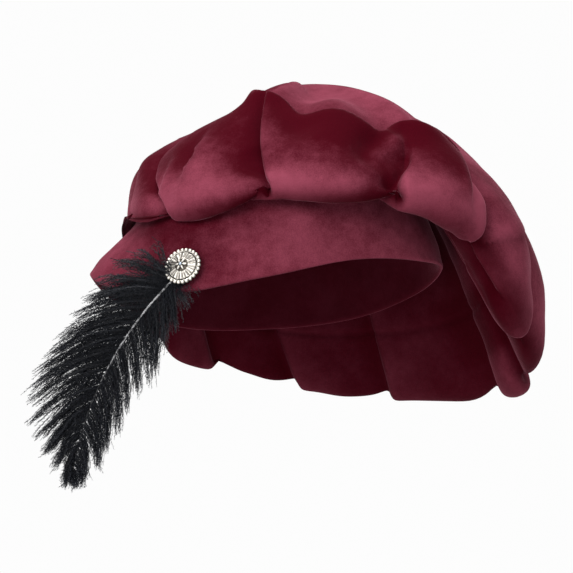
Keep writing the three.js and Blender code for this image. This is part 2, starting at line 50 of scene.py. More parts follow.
BAND_LAP_STEP = 0.7
BAND_LAP_EDGE = 0.4
BAND_LAP_FULL = 2
BAND_LAP_REACH = 26
BAND_MM_IN_A_DEGREE = 1.4
BAND_CALM_BELOW = 14
BAND_CALM_ABOVE = 10
FAR_AWAY = 99
# the band's tone with painted sheen, the painted shade that darkens it up the band and beside the lap,
# and the degrees beside the lap where that shade lies
BAND_TONE_AND_SHEEN = 0.55
BAND_PAINTED_SHADE_UP = 0.3
BAND_PAINTED_SHADE_AT_LAP = 0.25
BAND_LAP_DARK = (30, 2)
# painted shade that darkens the inside of the band and of the crown
INSIDE_SHADE = 0.85
# soft waves in the strip: height, length, seed
BAND_WAVES = [(0.9, 60, 11), (0.35, 22, 12)]
# angle round the band, height of the lower edge, inward lean of the strip in degrees
BAND_SECTIONS = np.array([
    [0, 20, 18], [30, 13, 12], [60, 4, 8], [90, 0, 8], [120, -1, 10], [150, 8, 22],
    [180, 16, 40], [210, 2, 30], [240, -7, 16], [270, 0, 10], [300, 12, 10], [330, 17, 14],
], float)


def smooth(start, stop, value):
    """A soft ramp from 0 to 1."""
    share = np.clip((value - start) / (stop - start), 0, 1)
    return share * share * (3 - 2 * share)


def around(table, column, degrees):
    """A table's column at an angle, as a smooth curve that closes on itself."""
    at, values, count = table[:, 0], table[:, column], len(table)
    turn = np.mod(np.asarray(degrees, float), 360)
    index = np.searchsorted(at, turn, side="right") - 1

    def angle(step):
        return at[np.mod(index + step, count)] + 360 * np.floor_divide(index + step, count)

    def value(step):
        return values[np.mod(index + step, count)]

    span = angle(1) - angle(0)
    f = (turn - angle(0)) / span
    slope_here = (value(1) - value(-1)) / (angle(1) - angle(-1)) * span
    slope_next = (value(2) - value(0)) / (angle(2) - angle(0)) * span
    blend = f * f * (3 - 2 * f)
    curve = value(0) * (1 - blend) + value(1) * blend
    return curve + slope_here * f * (1 - f) ** 2 - slope_next * f * f * (1 - f)


def ripple(points, length, seed, waves=14):
    """Soft irregular waves of about this length through space, between about -1 and 1."""
    draw = np.random.default_rng(seed)
    directions = draw.normal(size=(waves, 3))
    directions /= np.linalg.norm(directions, axis=1, keepdims=True)
    pitch = 2 * math.pi / (length * draw.uniform(0.7, 1.5, waves))
    phase = draw.uniform(0, 2 * math.pi, waves)
    total = np.zeros(points.shape[:-1])
    for way, turn, start in zip(directions, pitch, phase):
        total += np.sin(points @ way * turn + start)
    return total / math.sqrt(waves)


def layered(points, waves):
    """Waves of several lengths on top of each other."""
    return sum(height * ripple(points, length, seed) for height, length, seed in waves)


def band_point(degrees, height):
    """A point on the band's middle surface and the way out of it, in millimetres."""
    degrees = np.asarray(degrees, float)
    angle = np.radians(degrees)
    lift = around(BAND_SECTIONS, 1, degrees)
    lean = np.radians(around(BAND_SECTIONS, 2, degrees))
    level = np.stack([np.cos(angle) / HEAD_LENGTH, np.sin(angle) / HEAD_WIDTH, 0 * angle], -1)
    level /= np.linalg.norm(level, axis=-1, keepdims=True)
    edge = np.stack([HEAD_LENGTH / 2 * np.cos(angle), HEAD_WIDTH / 2 * np.sin(angle), lift], -1)
    climb = -level * np.sin(lean)[..., None]
    climb[..., 2] = np.cos(lean)
    out = level * np.cos(lean)[..., None]
    out[..., 2] = np.sin(lean)
    return edge + climb * np.asarray(height)[..., None], out, climb


def grid_faces(rows, columns, wrap_rows=False):
    """Four-sided faces over rows of points that each close into a ring."""
    bands = rows if wrap_rows else rows - 1
    row, column = np.meshgrid(np.arange(bands), np.arange(columns), indexing="ij")
    next_row, next_column = (row + 1) % rows, (column + 1) % columns
    corners = [row * columns + column, row * columns + next_column,
               next_row * columns + next_column, next_row * columns + column]
    return np.stack(corners, -1).reshape(-1, 4)


def make_piece(name, points, faces, uv=None, flat=False, edges=(), **marks):
    """A mesh object from points in millimetres, with its place in its mesh. marks are values by point."""
    mesh = bpy.data.meshes.new(name)
    mesh.from_pydata((np.reshape(points, (-1, 3)) * MM).tolist(), list(edges), [list(face) for face in faces])
    mesh.polygons.foreach_set("use_smooth", np.full(len(mesh.polygons), not flat))
    if uv is not None:
        corner = np.empty(len(mesh.loops), dtype=np.int64)
        mesh.loops.foreach_get("vertex_index", corner)
        layer = mesh.uv_layers.new(name="cloth")
        layer.data.foreach_set("uv", np.reshape(uv, (-1, 2))[corner].astype(np.float32).ravel())
    for mark, values in marks.items():
        values = np.asarray(values, np.float32)
        vector = values.ndim > 1 and values.shape[-1] == 3
        layer = mesh.attributes.new(mark, "FLOAT_VECTOR" if vector else "FLOAT", "POINT")
        layer.data.foreach_set("vector" if vector else "value", values.ravel())
    piece = bpy.data.objects.new(name, mesh)
    bpy.context.scene.collection.objects.link(piece)
    return piece


class Value:
    """A node socket that can stand in a sum. Each operation adds a Math node."""

    def __init__(self, tree, socket):
        self.tree, self.socket = tree, socket

    def math(self, operation, other):
        return self.tree.add("ShaderNodeMath", [self, other], operation=operation)[0]

    def __add__(self, other):
        return self.math("ADD", other)

    def __mul__(self, other):
        return self.math("MULTIPLY", other)

    def __sub__(self, other):
        return self.math("SUBTRACT", other)

    def __pow__(self, other):
        return self.math("POWER", other)

    def __rsub__(self, other):
        return self.tree.add("ShaderNodeMath", [other, self], operation="SUBTRACT")[0]

    __radd__ = __add__
    __rmul__ = __mul__

    def between(self, low, high):
        """A soft ramp from 0 to 1, as smooth() gives for numbers."""
        return self.tree.add("ShaderNodeMapRange", {"Value": self, "From Min": low, "From Max": high},
                             interpolation_type="SMOOTHSTEP")[0]


class Tree:
    """A node tree that is written as nested calls."""

    def __init__(self, tree):
        self.tree = tree

    def add(self, kind, sockets=(), **settings):
        """A node of this type: first its settings, then its sockets' values or links."""
        node = self.tree.nodes.new(kind)
        for key, setting in settings.items():
            setattr(node, key, setting)
        named = sockets.items() if isinstance(sockets, dict) else enumerate(sockets)
        for key, value in named:
            if isinstance(value, Value):
                self.tree.links.new(value.socket, node.inputs[key])
            else:
                node.inputs[key].default_value = value
        return [Value(self, socket) for socket in node.outputs if socket.enabled]

    def mark(self, name):
        """A value that the mesh carries by point."""
        return self.add("ShaderNodeAttribute", attribute_name=name)[2]

    def noise(self, place, scale, detail=3, roughness=0.6):
        sockets = {"Vector": place, "Scale": scale, "Detail": detail, "Roughness": roughness}
        return self.add("ShaderNodeTexNoise", sockets)[0]

    def mix_colour(self, factor, first, second):
        return self.add("ShaderNodeMix", {0: factor, 6: first, 7: second}, data_type="RGBA")[0]


def new_material(name):
    """A material with a Principled shader, its tree, and a way to plug in its inputs."""
    material = bpy.data.materials.new(name)
    material.use_nodes = True
    tree = Tree(material.node_tree)
    shader = material.node_tree.nodes["Principled BSDF"]

    def plug(name, value):
        if isinstance(value, Value):
            material.node_tree.links.new(value.socket, shader.inputs[name])
        else:
            shader.inputs[name].default_value = value

    return material, tree, plug


# the velvet's own deep wine, dusty pink for its pale pile and for painted sheen, near black for painted shade
VELVET_DEEP = (0.042, 0.0005, 0.0038, 1)
VELVET_PILE_AND_SHEEN = (0.208, 0.041, 0.067, 1)
VELVET_SHADE = (0.026, 0.0002, 0.0022, 1)
VELVET_SHEEN = (1.0, 0.38, 0.50, 1)
SHEEN_WEIGHT = 0.16
# the pile's clouds, specks and hairs: how many to a metre, and how much each lays it over
CLOUDS_PER_METRE = 34
CLOUD_LIE = 0.24
SPECKS_PER_METRE = 170
SPECK_LIE = 0.12
HAIRS_PER_METRE = 1500
HAIR_LIE = 0.2
PALENESS_OFFSET = 0.29
PALENESS_FULL = 1.1


def velvet(name):
    """Short cotton pile: deep wine, with dusty pink in random patches where the pile lies over.

    Its marks paint light into the colour: one paints sheen in dusty pink and shade in wine, the other deep
    shade.
    """
    material, tree, plug = new_material(name)
    place = tree.add("ShaderNodeTexCoord")[3]
    clouds = tree.noise(place, CLOUDS_PER_METRE, 4)
    specks = tree.noise(place, SPECKS_PER_METRE, 3, 0.7)
    hairs = tree.noise(place, HAIRS_PER_METRE, 2)
    crushed = clouds.between(0.3, 0.72) * CLOUD_LIE + specks.between(0.3, 0.72) * SPECK_LIE
    crushed = crushed + hairs.between(0.2, 0.8) * HAIR_LIE
    # painted light: the first mark paints sheen and shade over the pile's random patches, the second deep
    # shade
    nap = (tree.mark("nap") + crushed - PALENESS_OFFSET).between(0, PALENESS_FULL)
    colour = tree.mix_colour(nap, VELVET_DEEP, VELVET_PILE_AND_SHEEN)
    colour = tree.mix_colour(tree.mark("shade"), colour, VELVET_SHADE)
    relief = hairs * 0.6 + specks * 1.4
    bump = tree.add("ShaderNodeBump", {"Height": relief, "Strength": 0.5, "Distance": 0.0004})[0]
    plug("Base Color", colour)
    plug("Roughness", 0.9)
    plug("Specular IOR Level", 0.02)
    plug("Sheen Weight", SHEEN_WEIGHT)
    plug("Sheen Roughness", 0.3)
    plug("Sheen Tint", VELVET_SHEEN)
    plug("Normal", bump)
    return material


band_angles = np.arange(BAND_COLUMNS) * 360 / BAND_COLUMNS
half = BAND_THICKNESS / 2
fold_turn = np.radians([-60, -30, 0, 30, 60])
# the section's outline runs down the outside, round the lower fold, up the inside and over the top
outline = [(h, half) for h in np.linspace(BAND_WIDTH - half, half, BAND_ROWS)]
outline += [(half - half * math.cos(t), -half * math.sin(t)) for t in fold_turn]
outline += [(h, -half) for h in np.linspace(half, BAND_WIDTH - half, BAND_ROWS)]
outline += [(BAND_WIDTH - half + half * math.cos(t), half * math.sin(t)) for t in fold_turn]
heights, offsets = np.array(outline).T
turn, height = np.meshgrid(band_angles, heights)
offset = np.meshgrid(band_angles, offsets)[1]
middle, out, climb = band_point(turn, height)
soft = layered(middle, BAND_WAVES)
soft *= smooth(0, BAND_CALM_BELOW, height) * smooth(BAND_WIDTH, BAND_WIDTH - BAND_CALM_ABOVE, height)


def lap_step(past):
    """An end of the strip: a low step, which dies away past it."""
    edge = smooth(-BAND_LAP_EDGE, BAND_LAP_EDGE, past)
    return BAND_LAP_STEP * edge * smooth(BAND_LAP_REACH, BAND_LAP_FULL, past)


past_lap = np.where(offset > 0, (turn - BAND_LAP_ANGLE) * BAND_MM_IN_A_DEGREE, FAR_AWAY)
past_lap_inside = np.where(offset < 0, (BAND_LAP_INSIDE_ANGLE - turn) * BAND_MM_IN_A_DEGREE, -FAR_AWAY)
step = lap_step(past_lap) - lap_step(past_lap_inside)
band_points = middle + out * (offset + soft + step)[..., None]
band_faces = grid_faces(len(outline), BAND_COLUMNS, True)[:, ::-1]
# painted light on the band: sheen, painted shade up towards the crown and beside the lap, and inside
band_nap = BAND_TONE_AND_SHEEN - BAND_PAINTED_SHADE_UP * smooth(BAND_WIDTH / 2, BAND_WIDTH, height)
band_nap -= BAND_PAINTED_SHADE_AT_LAP * smooth(*BAND_LAP_DARK, np.abs(turn - BAND_LAP_ANGLE))
band_shade = INSIDE_SHADE * smooth(0.5, -0.5, offset / half)
head_band = make_piece("velvet_band", band_points, band_faces, nap=band_nap, shade=band_shade)
head_band.data.materials.append(velvet("band velvet"))
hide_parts("head_band")
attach(head_band, "root")

# Crown: a slack round sheet of velvet, sewn on the underside to a second ring, which is
# gathered into the band in soft pleats. It slouches to the back and to the wearer's right.
CROWN_WALL = 1.5
CROWN_AXIS = (35.0, 20.0)
CROWN_APEX = (12.0, 18.0, 131.0)
GATHER_RISE = 22.0
GATHER_SHARE = 0.6
GATHER_CLEARANCE = 0.9
LOBE_BULGE = 4.0
LOBE_ROUNDNESS = 0.8
LOBE_COLUMNS = 26
EVEN_SPACING = 0.15
CROWN_ROWS = 186
INSIDE_ROWS = 64
# level 0 is the band, 1 the roll, 2 the rim, 3 the ridge, 4 the dome and 5 the apex
APEX_LEVEL = 5
TURN_STEP = 0.5
LEVEL_STEP = 0.02
# the seam: its level, its groove and the puff of cloth beside it with their widths in levels,
# and the rings of points that follow it
SEAM_LEVEL = 0.66
SEAM_GROOVE = 1.2
SEAM_GROOVE_WIDTH = 0.012
SEAM_PUFF = 0.7
SEAM_PUFF_WIDTH = 0.06
SEAM_RINGS = [-0.024, -0.01, 0.0, 0.01, 0.024]
# soft waves in the cloth, as the band's
CROWN_WAVES = [(1.1, 55, 21), (0.4, 24, 22)]
# the levels over which each thing comes or goes
WAVES_COME = (0.3, 1)
SLACK_COMES = (0, 1)
SLACK_GOES = (2.6, 3.8)
TO_RIM = (0, 2)
TO_RIDGE = (1.6, 3.4)
PLEAT_COMES = (0, 1.3)
PLEAT_GOES_OVER = 0.9
LEAVES_BAND = (0, 0.1)
OVER_BAND = (0.6, 1.0)
# room between the cloth and the band, below its top edge and where the roll lies over it
BAND_CLEARANCE = 1.2
ROLL_CLEARANCE = 1.0
CLEARED_BELOW = 5
CLEARED_PAST_EDGE = 1
CLEARANCE_FADE = 7
ROLL_CLEARANCE_FADE = 13
# a pleat's or fold's edge: how far the step reaches, how far the edge rolls over, its painted sheen and shade
PLEAT_REACH = 14
PLEAT_REACH_UNDER = 9
PLEAT_PAINTED_LIGHT = 0.08
PLEAT_PAINTED_LIGHT_REACH_UNDER = 12
PLEAT_ROLL_OVER = 0.5
SHARP_PLEAT = 2
FOLD_REACH = 1.4
FOLD_REACH_UNDER = 0.9
FOLD_ROLL_OVER = 0.45
FOLD_ENDS = (-3, 9)
LIP_MIDDLE = 1.5
LIP_WIDTH = 3
# how pale the crown is: its base tone everywhere, painted sheen on the dome, and painted sheen and
# shade in rings (level, how much, width in levels)
CROWN_BASE_TONE = 0.4
DOME_PAINTED_SHEEN = 0.1
DOME_PAINTED_SHEEN_COMES = (3.2, 3.8)
PAINTED_LIGHT_RINGS = [(1.75, 0.3, 0.35), (2.9, -0.28, 0.45)]
# painted shade on the underside: where it ends, how painted sheen lightens it, and the gap at the front
SHADE_GOES = (1.7, 1.2)
SHADE_MOST = 1.05
SHADE_LOSS_BY_SHEEN = 0.7
SHADE_GAP = 0.8
SHADE_GAP_ANGLE = 190
SHADE_GAP_WIDTH = 35
# angle round the axis, then reach and lift of the roll, the rim, the ridge and the dome
CROWN_SECTIONS = np.array([
    [0, 112, -31, 123, 10, 109, 57, 70, 98],
    [30, 108, -37, 122, -6, 110, 45, 72, 91],
    [60, 100, -35, 119, 0, 106, 50, 70, 94],
    [90, 102, -29, 118, 4, 104, 55, 68, 98],
    [120, 107, -19, 117, 10, 100, 60, 66, 102],
    [150, 113, -8, 118, 22, 100, 70, 64, 107],
    [180, 108, 40, 113, 58, 103, 88, 62, 114],
    [208, 114, 38, 118, 54, 104, 83, 60, 107],
    [228, 117, 37, 119, 53, 93, 94, 55, 114],
    [244, 114, 40, 115, 56, 78, 112, 44, 125],
    [257, 109, 43, 112, 59, 82, 97, 42, 119],
    [274, 108, 43, 112, 58, 82, 98, 40, 121],
    [291, 109, 40, 112, 55, 80, 90, 42, 121],
    [304, 109, 36, 113, 53, 91, 90, 48, 119],
    [320, 106, 24, 113, 48, 90, 81, 56, 109],
    [336, 108, -12, 119, 30, 103, 63, 68, 101],
], float)
# a pleat's edge: its angle at the foot, rim and ridge, the side on top, its depth, the level
# where it ends, and how soft it is
PLEATS = np.array([
    [-5, 20, 30, 1, 6, 2.2, 3], [12, 32, 40, -1, 5, 2.0, 4], [62, 72, 72, -1, 5, 2.0, 3],
    [100, 100, 98, -1, 5, 2.0, 3], [128, 128, 125, 1, 5, 2.2, 3], [152, 152, 150, 1, 4, 2.4, 4],
    [176, 174, 174, 1, 3, 2.6, 2], [203, 196, 184, 1, 3, 2.6, 1.2], [229, 221, 198, 1, 4, 3.0, 1.2],
    [252, 254, 243, 1, 5, 3.3, 1.2], [290, 291, 299, 1, 6, 2.4, 1.2], [313, 317, 321, -1, 5, 2.8, 1.2],
    [335, 346, 350, -1, 6, 1.9, 1.2],
], float)
# loose folds and dents on the left, as that side is seen from 1.6 m away and a little below:
# the side on top of a step (0 for a swell), depth, width, softness, the painted light on that side
# (sheen above 0, shade below), how far that reaches, and points along the fold back and up
SIDE_TILT = math.radians(10.8)
SIDE_DISTANCE = 1600.0
FOLDS = [
    ("tube front", -1, 2.5, 9, 2.8, 0.15, 9, [(-61, 61), (-59, 71), (-53, 90)]),
    ("tube back", -1, 4.5, 11, 3.0, 0.25, 10, [(-48, 71), (-44, 80), (-34, 99)]),
    ("crest", -1, 3.5, 9, 1.8, -0.4, 30, [
        (-14, 122), (3, 122), (11, 117), (17, 110), (27, 110), (37, 112), (46, 111), (56, 105), (67, 97),
        (74, 103), (81, 105), (90, 104), (103, 96), (112, 84), (117, 70), (118, 58),
    ]),
    ("dip fore", 0, -3.5, 10, 0, -0.15, 12, [(17, 112), (24, 95)]),
    ("dip rear", 0, -6.0, 9, 0, -0.25, 11, [(66, 98), (62, 90), (56, 80)]),
    ("turned tube", 0, 5.0, 6, 0, 0.45, 7, [(58, 83), (66, 89), (76, 91), (82, 86)]),
    ("pocket", 0, -9.0, 7, 0, -0.6, 8, [(67, 68), (75, 70)]),
    ("tube edge", -1, 3.0, 8, 2.0, 0.2, 8, [(75, 62), (78, 72), (85, 80), (84, 90)]),
    ("back lip", 1, 3.0, 9, 2.6, 0.15, 9, [(120, 37), (131, 37), (150, 42)]),
    ("back crease", 1, 4.0, 10, 2.0, 0.2, 10, [(118, 35), (126, 22), (137, 3)]),
    ("fore patch", 0, 0.5, 12, 0, 0.3, 11, [(-12, 110), (-6, 104)]),
    ("front face", 0, 1.0, 10, 0, -0.3, 12, [(-80, 56), (-78, 40)]),
    ("tube hollow", 0, -2.5, 7, 0, -0.3, 7, [(-49, 78), (-42, 93)]),
    ("fore hollow", 0, -3.5, 12, 0, -0.25, 14, [(-6, 92), (-3, 72)]),
    ("rear face", 0, 1.5, 12, 0, 0.18, 13, [(86, 68), (100, 56), (112, 44)]),
    ("rear shade", 0, -1.0, 12, 0, -0.4, 17, [(112, 8), (122, -10), (134, -28)]),
    ("front shade", 0, -1.0, 8, 0, -0.25, 9, [(-66, 62), (-60, 70)]),
    ("lower roll", 0, 1.5, 8, 0, 0.3, 8, [(10, 65), (36, 66), (58, 69)]),
]


def crown_base(degrees, level):
    """The crown's smooth surface before its pleats."""
    angle = np.radians(degrees)
    middle, out, _ = band_point(degrees, np.full_like(degrees, BAND_WIDTH + GATHER_CLEARANCE))
    start = middle + out * CROWN_WALL / 2
    rings = []
    for ring in range(4):
        reach = around(CROWN_SECTIONS, 1 + 2 * ring, degrees)
        lift = around(CROWN_SECTIONS, 2 + 2 * ring, degrees)
        across, along = reach * np.cos(angle), reach * np.sin(angle)
        rings.append(np.stack([CROWN_AXIS[0] + across, CROWN_AXIS[1] + along, lift], -1))
    roll, dome = rings[0], rings[3]
    before = roll.copy()
    before[..., 2] -= 2 * (GATHER_RISE + GATHER_SHARE * (start[..., 2] - roll[..., 2]))
    apex = np.broadcast_to(np.array(CROWN_APEX), dome.shape)
    beyond = 2 * apex - dome
    beyond[..., 2] = around(CROWN_SECTIONS, 8, degrees + 180)
    stops = np.stack([before, start, *rings, apex, beyond])
    index = np.clip(np.floor(level).astype(int), 0, APEX_LEVEL - 1)
    f = (level - index)[..., None]

    def stop(step):
        return np.take_along_axis(stops, (index + step)[None, ..., None].repeat(3, -1), 0)[0]

    p0, p1, p2, p3 = (stop(step) for step in range(4))
    return 0.5 * (2 * p1 + (p2 - p0) * f + (2 * p0 - 5 * p1 + 4 * p2 - p3) * f ** 2
                  + (3 * p1 - p0 - 3 * p2 + p3) * f ** 3)


def crown_frame(degrees, level):
    """The way out of the smooth surface, the way round it, and the millimetres in a degree."""
    turn = crown_base(degrees + TURN_STEP, level) - crown_base(degrees - TURN_STEP, level)
    above = crown_base(degrees, np.clip(level + LEVEL_STEP, 0, APEX_LEVEL))
    below = crown_base(degrees, np.clip(level - LEVEL_STEP, 0, APEX_LEVEL))
    out = np.cross(turn, above - below)
    out /= np.linalg.norm(out, axis=-1, keepdims=True) + 1e-9
    span = np.linalg.norm(turn, axis=-1)
    return out, turn / (span[..., None] + 1e-9), span


def pleat_angles(level):
    """Each pleat's angle at a level."""
    foot, rim, ridge = PLEATS[:, 0], PLEATS[:, 1], PLEATS[:, 2]
    low = smooth(*TO_RIM, level[..., None])
    high = smooth(*TO_RIDGE, level[..., None])
    return (foot * (1 - low) + rim * low) * (1 - high) + ridge * high


def bell(value, middle, width):
    """1 at the middle, falling off smoothly on both sides."""
    return np.exp(-((value - middle) / width) ** 2)


def step_profile(distance, high_reach, low_reach, soft):
    """A step that dies away on both sides, sharp where soft is small."""
    sharp = np.tanh((np.abs(distance) + 0.3) / soft)
    far = np.exp(-np.abs(distance) / np.where(distance >= 0, high_reach, low_reach))
    return np.where(distance >= 0, 1, -1) * sharp * far


def lip_profile(distance):
    """How far a fold's upper edge rolls over its lower side."""
    return bell(distance, LIP_MIDDLE, LIP_WIDTH) * (distance > -1)


def rounded(path, cuts=3):
    """The same path with its corners cut off again and again."""
    path = np.array(path, float)
    for _ in range(cuts):
        first, last = path[:-1], path[1:]
        cut = np.stack([0.75 * first + 0.25 * last, 0.25 * first + 0.75 * last], 1).reshape(-1, 2)
        path = np.concatenate([path[:1], cut, path[-1:]])
    return path


def fold_pushes(points, out):
    """Pushes out of the surface, sideways where a fold's edge rolls over, and the painted sheen and shade."""
    sight = np.array([0, math.cos(SIDE_TILT), math.sin(SIDE_TILT)])
    shown = smooth(-0.05, 0.2, -(out @ sight))
    scale = 1 / (1 + points[..., 1] / SIDE_DISTANCE)
    height = points[..., 2] * math.cos(SIDE_TILT) - points[..., 1] * math.sin(SIDE_TILT)
    spots = np.stack([points[..., 0], height], -1) * scale[..., None]
    push, sideways, painted_fold_light = np.zeros(scale.shape), np.zeros(points.shape), np.zeros(scale.shape)
    for _, side, depth, width, softness, nap, nap_reach, path in FOLDS:
        path = rounded(path)
        steps = np.diff(path, axis=0)
        lengths = np.hypot(*steps.T)
        best = np.full(scale.shape, 1e9)
        signed, run, across = np.zeros_like(best), np.zeros_like(best), np.zeros(spots.shape)
        travelled = 0.0
        for start, step, length in zip(path[:-1], steps, lengths):
            way = step / length
            offset = spots - start
            reach = np.clip(offset @ way, 0, length)
            distance = np.linalg.norm(offset - reach[..., None] * way, axis=-1)
            nearer = distance < best
            best = np.where(nearer, distance, best)
            side_of = np.sign(way[0] * offset[..., 1] - way[1] * offset[..., 0])
            signed = np.where(nearer, distance * side_of, signed)
            run = np.where(nearer, travelled + reach, run)
            across[nearer] = (-way[1], way[0])
            travelled += length
        here = shown * smooth(*FOLD_ENDS, run) * smooth(*FOLD_ENDS, travelled - run)
        if side == 0:
            push += here * depth * bell(best, 0, width)
            painted_fold_light += here * nap * bell(best, 0, nap_reach)
            continue
        upward = signed * side
        push += here * depth * step_profile(upward, FOLD_REACH * width, FOLD_REACH_UNDER * width, softness)
        painted_fold_light += here * nap * step_profile(upward, nap_reach, nap_reach, softness)
        roll_over = -side * here * FOLD_ROLL_OVER * depth * lip_profile(upward)
        sideways[..., 0] += roll_over * across[..., 0]
        sideways[..., 2] += roll_over * across[..., 1]
    return push, sideways, painted_fold_light


def lift_off_band(points, level):
    """Moves what would sink into the band out to lie on it."""
    turn = np.degrees(np.arctan2(points[..., 1] / HEAD_WIDTH, points[..., 0] / HEAD_LENGTH))
    edge, out, climb = band_point(turn, np.zeros(turn.shape))
    height = (points[..., 2] - edge[..., 2]) / climb[..., 2]
    offset = np.sum((points - edge - climb * height[..., None]) * out, -1)
    over = smooth(*OVER_BAND, level)
    needed = BAND_THICKNESS / 2 + CROWN_WALL + BAND_CLEARANCE + over * (CROWN_WALL + ROLL_CLEARANCE)
    edge_height = BAND_WIDTH + CLEARED_PAST_EDGE
    fade = CLEARANCE_FADE + ROLL_CLEARANCE_FADE * over
    near = (height > -CLEARED_BELOW) * (1 - smooth(edge_height, edge_height + fade, height))
    return out * (near * np.maximum(0, needed - offset) * smooth(*LEAVES_BAND, level))[..., None]


def crown_sheet(levels, wall):
    """Rings of points up the crown. wall is 0 outside, or the cloth's thickness inside."""
    pleats = pleat_angles(levels)
    ends = np.concatenate([pleats, pleats[:, :1] + 360], 1)
    even = np.arange(LOBE_COLUMNS) / LOBE_COLUMNS
    share = (1 - EVEN_SPACING) * (0.5 - 0.5 * np.cos(np.pi * even)) + EVEN_SPACING * even
    degrees = (ends[:, :-1, None] * (1 - share) + ends[:, 1:, None] * share).reshape(len(levels), -1)
    level = np.repeat(levels[:, None], degrees.shape[1], 1)
    out, across, span = crown_frame(degrees, level)
    slack = smooth(*SLACK_COMES, level) * (1 - smooth(*SLACK_GOES, level))
    push = slack * LOBE_BULGE * (np.sin(np.pi * np.tile(share, len(PLEATS))) ** LOBE_ROUNDNESS - 0.5)
    # the crown's base tone, with painted sheen on the dome and painted sheen and shade in rings and at pleats
    nap = CROWN_BASE_TONE + DOME_PAINTED_SHEEN * smooth(*DOME_PAINTED_SHEEN_COMES, level)
    for middle, more, width in PAINTED_LIGHT_RINGS:
        nap += more * bell(level, middle, width)
    roll_over = np.zeros(push.shape)
    for index, (_, _, _, side, depth, end, soft) in enumerate(PLEATS):
        away = np.mod(degrees - pleats[:, index:index + 1] + 180, 360) - 180
        distance = np.where(np.abs(away) < 1e-6, 0, away * span * side)
        deep = depth * smooth(*PLEAT_COMES, level) * (1 - smooth(end - PLEAT_GOES_OVER, end, level))
        push += deep * step_profile(distance, PLEAT_REACH, PLEAT_REACH_UNDER, soft)
        nap += PLEAT_PAINTED_LIGHT * deep * step_profile(distance, PLEAT_REACH, PLEAT_PAINTED_LIGHT_REACH_UNDER, soft)
        roll_over -= side * PLEAT_ROLL_OVER * deep * lip_profile(distance) * (soft < SHARP_PLEAT)
    points = crown_base(degrees, level)
    push += SEAM_PUFF * bell(level, SEAM_LEVEL, SEAM_PUFF_WIDTH)
    push -= SEAM_GROOVE * bell(level, SEAM_LEVEL, SEAM_GROOVE_WIDTH)
    push += smooth(*WAVES_COME, level) * layered(points, CROWN_WAVES)
    points = points + out * push[..., None]
    fold, sideways, painted_fold_light = fold_pushes(points, out)
    points += out * fold[..., None]
    if wall == 0:
        points += across * roll_over[..., None] + sideways
    points += lift_off_band(points, level)
    return points - out * wall, np.stack([degrees / 360, level / APEX_LEVEL], -1), nap + painted_fold_light


def capped_faces(rows, columns):
    """Faces over rings of points, each end closed by a fan to one more point."""
    faces = grid_faces(rows, columns).tolist()
    first_tip, last_tip = rows * columns, rows * columns + 1
    last = (rows - 1) * columns
    faces += [[(c + 1) % columns, c, first_tip] for c in range(columns)]
    faces += [[last + c, last + (c + 1) % columns, last_tip] for c in range(columns)]
    return faces


outer_levels = np.linspace(0, APEX_LEVEL, CROWN_ROWS, endpoint=False)
outer_levels = np.sort(np.concatenate([outer_levels, SEAM_LEVEL + np.array(SEAM_RINGS)]))
inner_levels = np.linspace(0, APEX_LEVEL, INSIDE_ROWS, endpoint=False)[::-1]
outer_points, outer_uv, outer_nap = crown_sheet(outer_levels, 0)
inner_points, inner_uv, _ = crown_sheet(inner_levels, CROWN_WALL)
crown_points = np.concatenate([inner_points, outer_points])
faces = capped_faces(*crown_points.shape[:2])
tips = np.array([CROWN_APEX, CROWN_APEX]) - np.array([[0, 0, CROWN_WALL], [0, 0, 0]])
all_points = np.concatenate([crown_points.reshape(-1, 3), tips])
all_uv = np.concatenate([inner_uv.reshape(-1, 2), outer_uv.reshape(-1, 2), [[0.5, 1], [0.5, 1]]])
outer_degrees = np.mod(outer_uv[..., 0] * 360, 360)
# painted shade under the crown, less where painted sheen is and at the front
painted_underside_shade = smooth(*SHADE_GOES, outer_uv[..., 1] * APEX_LEVEL)
painted_underside_shade *= np.clip(SHADE_MOST - SHADE_LOSS_BY_SHEEN * outer_nap, 0, 1)
painted_underside_shade *= 1 - SHADE_GAP * bell(outer_degrees, SHADE_GAP_ANGLE, SHADE_GAP_WIDTH)
# painted shade inside the crown
inside = np.ones(inner_uv[..., 0].size)
nap = np.concatenate([0 * inside, outer_nap.ravel(), [0, outer_nap[-1].mean()]])
shade = np.concatenate([INSIDE_SHADE * inside, painted_underside_shade.ravel(), [INSIDE_SHADE, 0]])
crown = make_piece("velvet_crown", all_points, faces, all_uv, nap=nap, shade=shade)
crown.data.materials.append(velvet("crown velvet"))
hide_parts("crown_top", "crown_under")
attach(crown, "root")

# Brooch: a cast and silvered disc of twelve scooped petals in a beaded setting, with a small
# six-pointed flower and a bead at its middle. It is dark in its hollows and is held by a
# plain post through the band.
BROOCH_ANGLE = 244.0
BROOCH_HEIGHT = 13.0
BROOCH_BACK = 4.9
DISC_SIDES = 144
FACE_RADIUS = 8.3
FACE_ROWS = 30
FACE_PETALS = 12
FACE_BASE = 1.2
FACE_EDGE = 0.9
FACE_RISE = 1.3
FACE_SCALLOP = 0.05
PETAL_DEPTH = 0.75
PETAL_ROUNDNESS = 0.6
PETAL_COMES = (0.34, 0.62)
PETAL_GOES = (1.04, 0.9)
VEIN_RISE = 0.3
VEIN_WIDTH = 0.06
STAR_RADIUS = 3.7
STAR_WAIST = 1.6
STAR_POINTS = 6
STAR_SLIMNESS = 1.3
STAR_ROWS = 14
STAR_BASE = 3.75
STAR_EDGE = 0.35
STAR_RISE = 0.75
STAR_RIDGE = 0.35
STAR_GROOVE = 0.5
STAR_GROOVE_WIDTH = 0.22
BEAD_COUNT = 26
BEAD_RADIUS = 1.16
BEAD_RING = 9.7
BEAD_LEVEL = 1.3
BEAD_SEGMENTS = 16
BEAD_RINGS = 10
BEAD_RUB_PER_METRE = 700
MIDDLE_BEAD_RADIUS = 0.95
